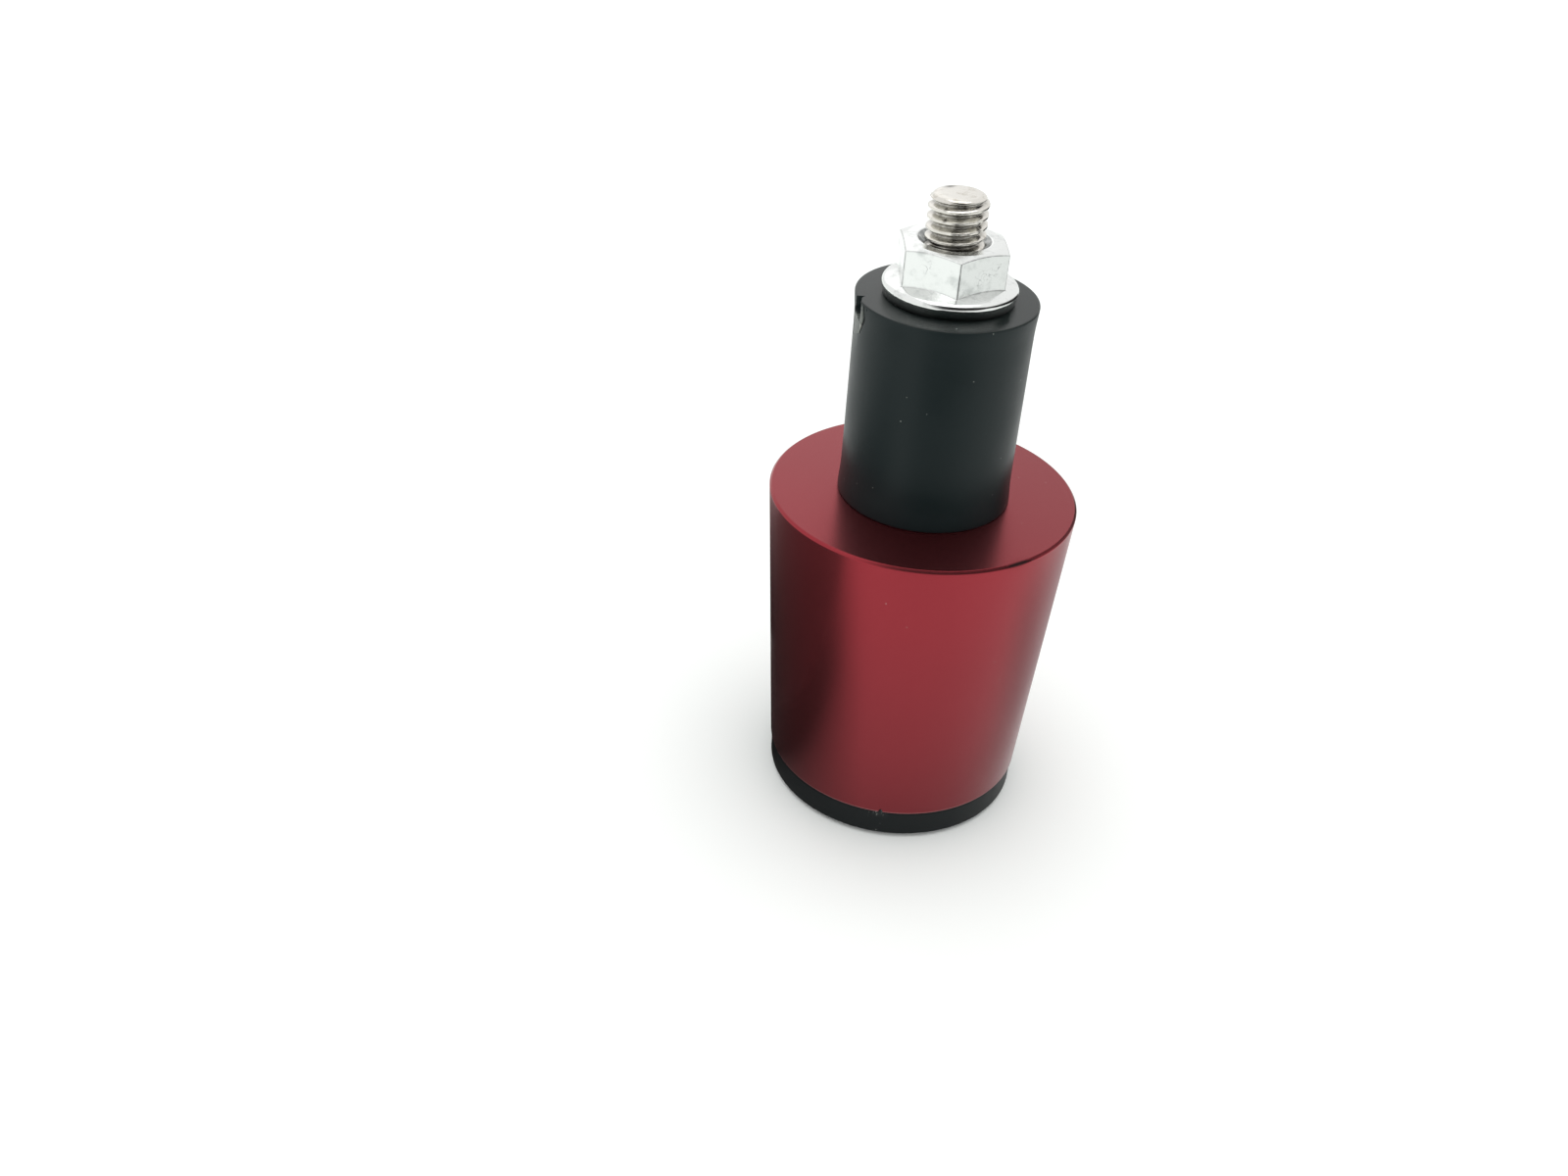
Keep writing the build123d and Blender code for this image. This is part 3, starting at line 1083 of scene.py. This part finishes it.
@dataclass(frozen=True)
class SocketScrew:
    """The screw: a head with a hexagon socket, a plain shank, and a rolled thread up to its tip."""

    span: Span
    thread: Thread
    shank_radius: float = 2.95
    head_height: float = 6.0
    head_rounding: float = 0.6
    neck_rounding: float = 0.22
    edge_rounding: float = 0.16
    socket_across: float = 5.0
    socket_depth: float = 3.0
    socket_point_angle: float = 30.0
    socket_rounding: float = 0.04
    drill_radius: float = 2.42
    axis_gap: float = 0.02
    thread_length: float = 16.0
    run_out: float = 1.6
    tip_radius: float = 2.6
    tip_flat: float = 2.0
    tip_rounding: float = 0.36
    tip_slope: float = 1.5
    tip_turns: tuple[float, float] = (12.0, 90.0)
    tip_rows: int = 8
    tip_rings: tuple[float, ...] = (0.95, 0.85, 0.7, 0.5, 0.3, 0.15, 0.02)
    rows_per_turn: int = 20
    fold_depth: float = 0.05
    fold_share: float = 0.07
    rolling_wave: float = 0.022
    rolling_length: float = 1.1
    rolling_radius: float = 3.0
    dent_angle: float = 122.0
    dent_length: float = 0.6
    dent_width: float = 0.27
    dent_depth: float = 0.06
    dent_inset: float = 0.06
    dent_stain: float = 0.95
    spot_stain: float = 0.85
    # Dirt and painted shade in the thread's roots.
    root_dirt_and_shade: float = 0.7
    root_span: tuple[float, float] = (0.25, 0.95)
    columns: int = 160
    spots: tuple[tuple[float, float, float], ...] = (
        (213.0, 0.83, 0.13),
        (244.5, 0.89, 0.17),
        (246.1, 1.97, 0.17),
        (316.8, 1.53, 0.2),
        (319.9, 2.78, 0.22),
    )

    def socket_and_head(self, angles: Array, thread_start: float) -> Path:
        """Profile from the socket's point, over the head and up the plain shank to the thread.

        The socket's radius in a column is that of a hexagon: half the size across flats, over the cosine of
        the angle from the nearest flat's middle.

        Args:
            angles: angle of each column.
            thread_start: height where the thread begins.

        Returns:
            The rows, from the axis outwards and up.
        """
        off_flat = (angles % (pi / 3)) - pi / 6
        hexagon = self.socket_across / 2 / np.cos(off_flat)
        face, head = self.span.low, self.span.reach
        floor = face + self.socket_depth
        point = floor + self.drill_radius * tan(radians(self.socket_point_angle))
        seat_height = face + self.head_height
        corners = [
            (self.axis_gap, point),
            (self.drill_radius, floor),
            (hexagon, floor),
            (hexagon, face),
            (head, face),
            (head, seat_height),
            (self.shank_radius, seat_height),
            (self.shank_radius, thread_start),
        ]
        edge, tight = self.edge_rounding, self.socket_rounding
        radii = [0.0, tight, tight, edge, self.head_rounding, edge, self.neck_rounding, 0.0]
        return rounded_path(corners, radii, [2, 0, 8, 3, 8, 2, 20, 0], closed=False)

    def build(self) -> Piece:
        """Joins the head's profile, the thread's rows and the domed tip.

        The thread fades in over its run-out, has a folded seam along each crest as rolling leaves it, and is
        cut by the tip's chamfer: the smaller of the two radii holds. The end's rounding is a quarter of an
        ellipse between the tip's radius and its flat. Spots of dirt have an angle, a drop below the tip and
        a width.

        Returns:
            The screw's mesh object, with the marks grime and stain.
        """
        angles = column_angles(self.columns)
        tip = self.span.high
        shoulder = tip - self.tip_rounding
        thread_start = tip - self.thread_length
        head = self.socket_and_head(angles, thread_start)
        count = int(self.thread_length * self.rows_per_turn / self.thread.pitch)
        heights = np.linspace(thread_start, shoulder, count)[1:, None]
        flank = self.thread.radius(angles, heights)
        away = self.thread.away(angles, heights)
        round_x, round_y = self.rolling_radius * np.cos(angles), self.rolling_radius * np.sin(angles)
        wave = ripple(31, self.rolling_length, round_x, round_y, heights)
        flank = flank - self.fold_depth * bell(away, self.fold_share)
        flank = flank + self.rolling_wave * (wave - 1) * (1 - away)
        begun = ease(heights, thread_start, thread_start + self.run_out)
        flank = self.shank_radius + begun * (flank - self.shank_radius)
        chamfer = self.tip_radius + self.tip_slope * (shoulder - heights)
        radius = np.minimum(flank, chamfer)
        turn = np.radians(np.linspace(*self.tip_turns, self.tip_rows))
        edge = self.tip_flat + (self.tip_radius - self.tip_flat) * np.cos(turn)
        edge_height = shoulder + self.tip_rounding * np.sin(turn)
        flat = self.tip_flat * np.array(self.tip_rings)
        end = np.concatenate([edge, flat])[:, None] * np.ones(len(angles))
        end_height = np.concatenate([edge_height, np.full(len(flat), tip)])[:, None] * np.ones(len(angles))
        all_radius = np.concatenate([head.radius, radius, end])
        all_height = np.concatenate([head.height, heights * np.ones(len(angles)), end_height])
        dent = bell(arc_from(angles, self.dent_angle, self.tip_flat), self.dent_length)
        edge_away = np.hypot(all_radius - self.tip_flat + self.dent_inset, all_height - tip)
        dent = dent * bell(edge_away, self.dent_width)
        all_height = all_height - self.dent_depth * dent
        # Dirt and painted shade in the thread's roots.
        roots = begun * ease(away, *self.root_span)
        hollow = np.concatenate([np.zeros(head.radius.shape), roots, np.zeros(end.shape)])
        spotted = np.zeros(all_radius.shape)
        for angle, drop, width in self.spots:
            across = arc_from(angles, angle, self.thread.major)
            spotted = np.maximum(spotted, bell(np.hypot(across, tip - drop - all_height), width))
        stain_and_shade = np.maximum(self.dent_stain * dent, self.spot_stain * spotted)
        marks = {"grime_and_shade": self.root_dirt_and_shade * hollow, "stain_and_shade": stain_and_shade}
        return skin("screw_plated", angles, all_radius, all_height, False, marks)


# Studio


@dataclass(frozen=True)
class Camera:
    """The photograph's camera: it stands in front of the part, looks down on it and leans a little."""

    focal_px: float = 1468.838
    distance: float = 134.5532
    height: float = 112.6961
    pitch: float = 33.8053
    yaw: float = -5.9802
    roll: float = 3.95
    sensor_mm: float = 36.0

    def axes(self) -> tuple[Vector, Vector, Vector]:
        """Right, up and forward: pitched down from +Y, turned by the yaw, and rolled about the view."""
        pitch, yaw, roll = radians(self.pitch), radians(self.yaw), radians(self.roll)
        forward = Vector((sin(yaw) * cos(pitch), cos(yaw) * cos(pitch), -sin(pitch)))
        level = Vector((cos(yaw), -sin(yaw), 0.0))
        upright = level.cross(forward)
        right = cos(roll) * level + sin(roll) * upright
        up = cos(roll) * upright - sin(roll) * level
        return right, up, forward

    def place(self) -> Vector:
        """Where the camera stands, in metres."""
        return Vector((0.0, -self.distance, self.height)) * MM

    def build(self) -> None:
        """Makes the camera and hands it to the scene."""
        data = bpy.data.cameras.new("photo_camera")
        data.sensor_fit = "HORIZONTAL"
        data.sensor_width = self.sensor_mm
        data.lens = self.focal_px / PHOTO_WIDTH_PX * self.sensor_mm
        data.clip_start = 0.001
        right, up, forward = self.axes()
        camera = bpy.data.objects.new("photo_camera", data)
        turned = Matrix((right, up, -forward)).transposed().to_4x4()
        camera.matrix_world = Matrix.Translation(self.place()) @ turned
        bpy.context.scene.collection.objects.link(camera)
        bpy.context.scene.camera = camera


@dataclass(frozen=True)
class Studio:
    """A white table in a bright tent: soft light from all round, and cloths that only reflections show. Three
    of them lie on the table as painted shadows.

    The table and the lamps have their sizes in metres, and the cloths theirs in millimetres.
    """

    camera: Camera
    floor_size: float = 6.0
    floor_white: str = "#fafdfb"
    tent_light: float = 1.0
    lamp_aim: float = 0.03
    ceiling_height: float = 0.7
    ceiling_size: float = 0.5
    ceiling_glow: float = 1.2
    panel_way: float = 112.0
    panel_rise: float = 36.0
    panel_away: float = 0.7
    panel_size: float = 0.5
    panel_glow: float = 0.25
    cloth_grey: str = "#6b6565"
    # The dark cloth is painted shadow under the roll.
    cloth_shadow_dark: str = "#453f3f"
    cloth_black: str = "#242323"
    # The pale cloth is painted shadow on the table at the right.
    cloth_shadow_pale: str = "#c6c2c2"
    holder_behind: float = 6.0
    holder_left: float = -90.0
    holder_right: float = 260.0
    holder_low: float = -60.0
    holder_high: float = 130.0
    holder_hem: float = 0.2
    cloth_lift: float = 0.3
    # Painted shadow: a dark sheet for the shadow over the table in front.
    front_shadow_corners: tuple[float, float, float, float] = (-50.0, -420.0, 150.0, -76.0)
    front_shadow_hem: float = 0.08
    # Painted shadow: a pale grey sheet for the shadow on the table at the right.
    right_shadow_corners: tuple[float, float, float, float] = (16.0, -14.0, 64.0, 58.0)
    right_shadow_hem: float = 0.25
    strip_away: float = 60.0
    strip_front: float = -60.0
    strip_back: float = 120.0
    strip_middle: tuple[float, float] = (110.0, 14.0)
    strip_width: float = 40.0
    strip_hem: float = 0.15
    roll_start: tuple[float, float, float] = (-46.1, -29.3, 14.25)
    roll_way: float = 60.1
    roll_rise: float = 3.2
    roll_length: float = 36.4
    roll_radii: tuple[float, float] = (14.2, 15.3)
    core_length: float = 59.0
    core_radius: float = 9.0
    shade_sides: tuple[float, float] = (-26.0, 31.0)
    shade_spare: float = 18.0
    shade_hem: float = 0.3

    def build(self) -> None:
        """Lays the table, lights it and sets out the cloths."""
        self.world()
        self.table()
        self.lamp("ceiling", Vector((0.0, 0.0, self.ceiling_height)), self.ceiling_size, self.ceiling_glow)
        way, rise = radians(self.panel_way), radians(self.panel_rise)
        behind = Vector((cos(way) * cos(rise), sin(way) * cos(rise), sin(rise))) * self.panel_away
        self.lamp("panel", behind, self.panel_size, self.panel_glow)
        cloths = ("cloth_black", "cloth_shadow_dark", "cloth_grey", "cloth_shadow_pale")
        black, shadow_cloth, grey, pale = [self.cloth_finish(name, getattr(self, name)) for name in cloths]
        self.holder(black)
        self.strip(black)
        # Painted shadow, seen only in reflections: a dark sheet for the shadow over the table in front.
        self.lay("flag_front_shadow", self.front_shadow_corners, self.front_shadow_hem, black)
        # Painted shadow, seen only in reflections: a pale grey sheet for the shadow on the table at the
        # right.
        self.lay("flag_right_shadow", self.right_shadow_corners, self.right_shadow_hem, pale)
        self.roll(grey, shadow_cloth)
        bpy.context.scene.view_settings.view_transform = "Standard"
        LOG.info("studio is lit")

    def world(self) -> None:
        """The tent: one even white on every side, which lights the part and shows in reflections."""
        world = bpy.data.worlds.new("white_tent")
        world.use_nodes = True
        tree = world.node_tree
        tree.nodes.clear()
        white = {"Color": (1.0, 1.0, 1.0, 1.0), "Strength": self.tent_light}
        white = add(tree, "Background", white).outputs[0]
        add(tree, "OutputWorld", {"Surface": white})
        bpy.context.scene.world = world

    def stand(self, name: str, points: Array, faces: Array, finish: Finish) -> Piece:
        """Makes a mesh that belongs to the studio.

        Args:
            name: its name.
            points: its points, in millimetres.
            faces: the corners of its faces.
            finish: its material.

        Returns:
            The object.
        """
        mesh = bpy.data.meshes.new(name)
        mesh.from_pydata(np.asarray(points, float) * MM, [], np.asarray(faces).tolist())
        mesh.materials.append(finish)
        stood = bpy.data.objects.new(name, mesh)
        bpy.context.scene.collection.objects.link(stood)
        return stood

    def table(self) -> None:
        """A matt table as white as paper."""
        material, tree = blank("table_white")
        matt = add(tree, "BsdfDiffuse", {"Color": linear(self.floor_white)}).outputs[0]
        add(tree, "OutputMaterial", {"Surface": matt})
        half = self.floor_size / 2 / MM
        corners = [(-half, -half, 0), (half, -half, 0), (half, half, 0), (-half, half, 0)]
        self.stand("table", corners, [(0, 1, 2, 3)], material)

    def lamp(self, name: str, place: Vector, size: float, glow: float) -> None:
        """Hangs a square soft lamp that faces the part.

        Args:
            name: its name.
            place: where it hangs, in metres.
            size: its side, in metres.
            glow: its radiance.
        """
        light = bpy.data.lights.new(name, "AREA")
        light.shape = "SQUARE"
        light.size = size
        light.energy = glow * pi * size**2
        lamp = bpy.data.objects.new(name, light)
        aim = place - Vector((0.0, 0.0, self.lamp_aim))
        lamp.matrix_world = Matrix.Translation(place) @ aim.to_track_quat("Z", "Y").to_matrix().to_4x4()
        bpy.context.scene.collection.objects.link(lamp)

    def cloth_finish(self, name: str, colour: str) -> Finish:
        """Matt cloth that thins out to nothing towards its hem.

        Args:
            name: the material's name.
            colour: the cloth's colour.

        Returns:
            The material. It reads the mark weave.
        """
        material, tree = blank(name)
        weave = add(tree, "Attribute", attribute_name="weave").outputs["Fac"]
        matt = add(tree, "BsdfDiffuse", {"Color": linear(colour)}).outputs[0]
        clear = add(tree, "BsdfTransparent").outputs[0]
        thin = add(tree, "MixShader", {0: weave, 1: clear, 2: matt}).outputs[0]
        add(tree, "OutputMaterial", {"Surface": thin})
        return material

    def hide(self, flag: Piece, weave: Array) -> None:
        """Lets only reflections see a flag, and writes how dense its cloth is at each point."""
        dense = flag.data.attributes.new("weave", "FLOAT", "POINT")
        dense.data.foreach_set("value", weave.astype(np.float32))
        flag.visible_camera = False
        flag.visible_diffuse = False
        flag.visible_transmission = False
        flag.visible_shadow = False

    def cloth_card(self, name: str, corners: Array, hem: float, finish: Finish) -> None:
        """Spreads a flat cloth between four corners: a grid of bilinear shares, which is thin at the hem.

        Args:
            name: its name.
            corners: four points in order, in millimetres.
            hem: share of its sides over which it thins out.
            finish: its material.
        """
        share = np.array([0.0, hem, 1 - hem, 1.0])
        across, along = np.meshgrid(share, share)
        weights = [(1 - across) * (1 - along), across * (1 - along), across * along, (1 - across) * along]
        points = np.einsum("kij,kc->ijc", np.array(weights), np.asarray(corners, float)).reshape(-1, 3)
        index = np.arange(16).reshape(4, 4)
        faces = np.stack([index[:-1, :-1], index[:-1, 1:], index[1:, 1:], index[1:, :-1]], -1).reshape(-1, 4)
        inside = np.zeros((4, 4))
        inside[1:3, 1:3] = 1.0
        self.hide(self.stand(name, points, faces, finish), inside.ravel())

    def holder(self, finish: Finish) -> None:
        """Hangs a cloth behind the camera, square to its view."""
        right, up, forward = [np.array(axis) for axis in self.camera.axes()]
        middle = np.array(self.camera.place()) / MM - self.holder_behind * forward
        low, high = middle + self.holder_low * up, middle + self.holder_high * up
        from_left, to_right = self.holder_left * right, self.holder_right * right
        corners = [low + from_left, low + to_right, high + to_right, high + from_left]
        self.cloth_card("flag_holder", corners, self.holder_hem, finish)

    def lay(self, name: str, corners: Sequence[float], hem: float, finish: Finish) -> None:
        """Spreads a cloth on the table, out of the view's reach or close to the part.

        Args:
            name: its name.
            corners: x and y of two opposite corners, in millimetres.
            hem: share of its sides over which it thins out.
            finish: its material.
        """
        left, front, right, back = corners
        flat = [(left, front), (right, front), (right, back), (left, back)]
        self.cloth_card(name, [(*corner, self.cloth_lift) for corner in flat], hem, finish)

    def strip(self, finish: Finish) -> None:
        """Hangs a strip of cloth upright at the right, which slopes down to the back."""
        front = np.array([self.strip_away, self.strip_front, self.strip_middle[0]])
        back = np.array([self.strip_away, self.strip_back, self.strip_middle[1]])
        lift = np.array([0.0, 0.0, self.strip_width / 2])
        corners = [front - lift, back - lift, back + lift, front + lift]
        self.cloth_card("flag_strip", corners, self.strip_hem, finish)

    def roll(self, finish: Finish, shade: Finish) -> None:
        """Lays a roll of cloth on a core against the part's left side, and its shade on the table.

        The roll is turned about its own axis: circles of the profile's radii, at its distances along the
        axis.

        Args:
            finish: the roll's cloth.
            shade: the cloth that is painted shadow: the roll's shadow on the table, seen only in reflections.
        """
        start, way, rise = np.array(self.roll_start), radians(self.roll_way), radians(self.roll_rise)
        level = np.array([cos(way), sin(way), 0.0])
        axis = cos(rise) * level + np.array([0.0, 0.0, sin(rise)])
        side = np.array([sin(way), -cos(way), 0.0])
        turn = np.linspace(0, 2 * pi, 48, endpoint=False)[:, None]
        circle = np.cos(turn) * side + np.sin(turn) * np.cross(side, axis)
        inner, outer = self.roll_radii
        profile = [
            (0.0, 0.0),
            (0.0, inner),
            (self.roll_length, outer),
            (self.roll_length, self.core_radius),
            (self.core_length, self.core_radius),
            (self.core_length, 0.0),
        ]
        rings = np.stack([start + along * axis + radius * circle for along, radius in profile])
        index = np.arange(rings.shape[0] * rings.shape[1]).reshape(rings.shape[:2])
        beside = np.roll(index, -1, 1)
        faces = np.stack([index[:-1], beside[:-1], beside[1:], index[1:]], -1).reshape(-1, 4)
        self.hide(self.stand("flag_roll", rings.reshape(-1, 3), faces, finish), np.ones(index.size))
        ground = start * (1.0, 1.0, 0.0) + np.array([0.0, 0.0, self.cloth_lift])
        back = ground - self.shade_spare * level
        ahead = ground + (self.core_length + self.shade_spare) * level
        away, towards = [reach * side for reach in self.shade_sides]
        corners = [back + away, back + towards, ahead + towards, ahead + away]
        self.cloth_card("flag_shade", corners, self.shade_hem, shade)


def main() -> None:
    """Builds the pieces, the studio and the camera."""
    logging.basicConfig(level=logging.INFO, format="%(name)s: %(message)s")
    rubber = BlackPolymer(
        name="nitrile_rubber",
        black="#121c1d",
        black_worn="#162122",
        # Painted light: the bush's top face is a lighter black.
        end_black_painted_light="#1e2423",
        scuff="#868a83",
        roughness=0.38,
        roughness_swing=0.04,
        specular=0.19,
        grain_mm=0.35,
        grain_height_mm=0.005,
        end_polish=0.19,
    )
    plastic = BlackPolymer(
        name="moulded_nylon",
        black="#0f1314",
        black_worn="#141819",
        end_black_painted_light="#141819",
        scuff="#9a9d98",
        roughness=0.42,
        roughness_swing=0.05,
        specular=0.14,
        grain_mm=0.22,
        grain_height_mm=0.006,
    )
    zinc = PlatedSteel(
        name="bright_zinc",
        plate="#e9ebe9",
        plate_dull="#d0d3d1",
        dirt="#262726",
        roughness=0.17,
        roughness_swing=0.05,
        smudge_mm=1.6,
    )
    nickel = PlatedSteel(
        name="rolled_nickel",
        plate="#dfdcd5",
        plate_dull="#c4bfb4",
        dirt="#2b251d",
        roughness=0.2,
        roughness_swing=0.05,
        smudge_mm=1.2,
    )
    thread = Thread()
    weight = WeightBody(Span.of("weight_body")).build()
    seat(weight, "weight_body", Carrier.WEIGHT, AnodisedAluminium().material())
    cap = EndCap(Span.of("end_cap")).build()
    seat(cap, "end_cap", Carrier.WEIGHT, plastic.material())
    rubber_bush = ExpanderBush(Span.of("expander_bush"))
    bush = rubber_bush.build()
    seat(bush, "expander_bush", Carrier.WEIGHT, rubber.material())
    rubber_bush.squeeze(bush)
    nut = FlangeNut(Span.of("flange_nut"), thread).build()
    seat(nut, "flange_nut", Carrier.NUT, zinc.material())
    screw = SocketScrew(Span.of("socket_bolt"), thread).build()
    seat(screw, "socket_bolt", Carrier.SCREW, nickel.material())
    camera = Camera()
    camera.build()
    Studio(camera).build()


if __name__ == "__main__":
    main()
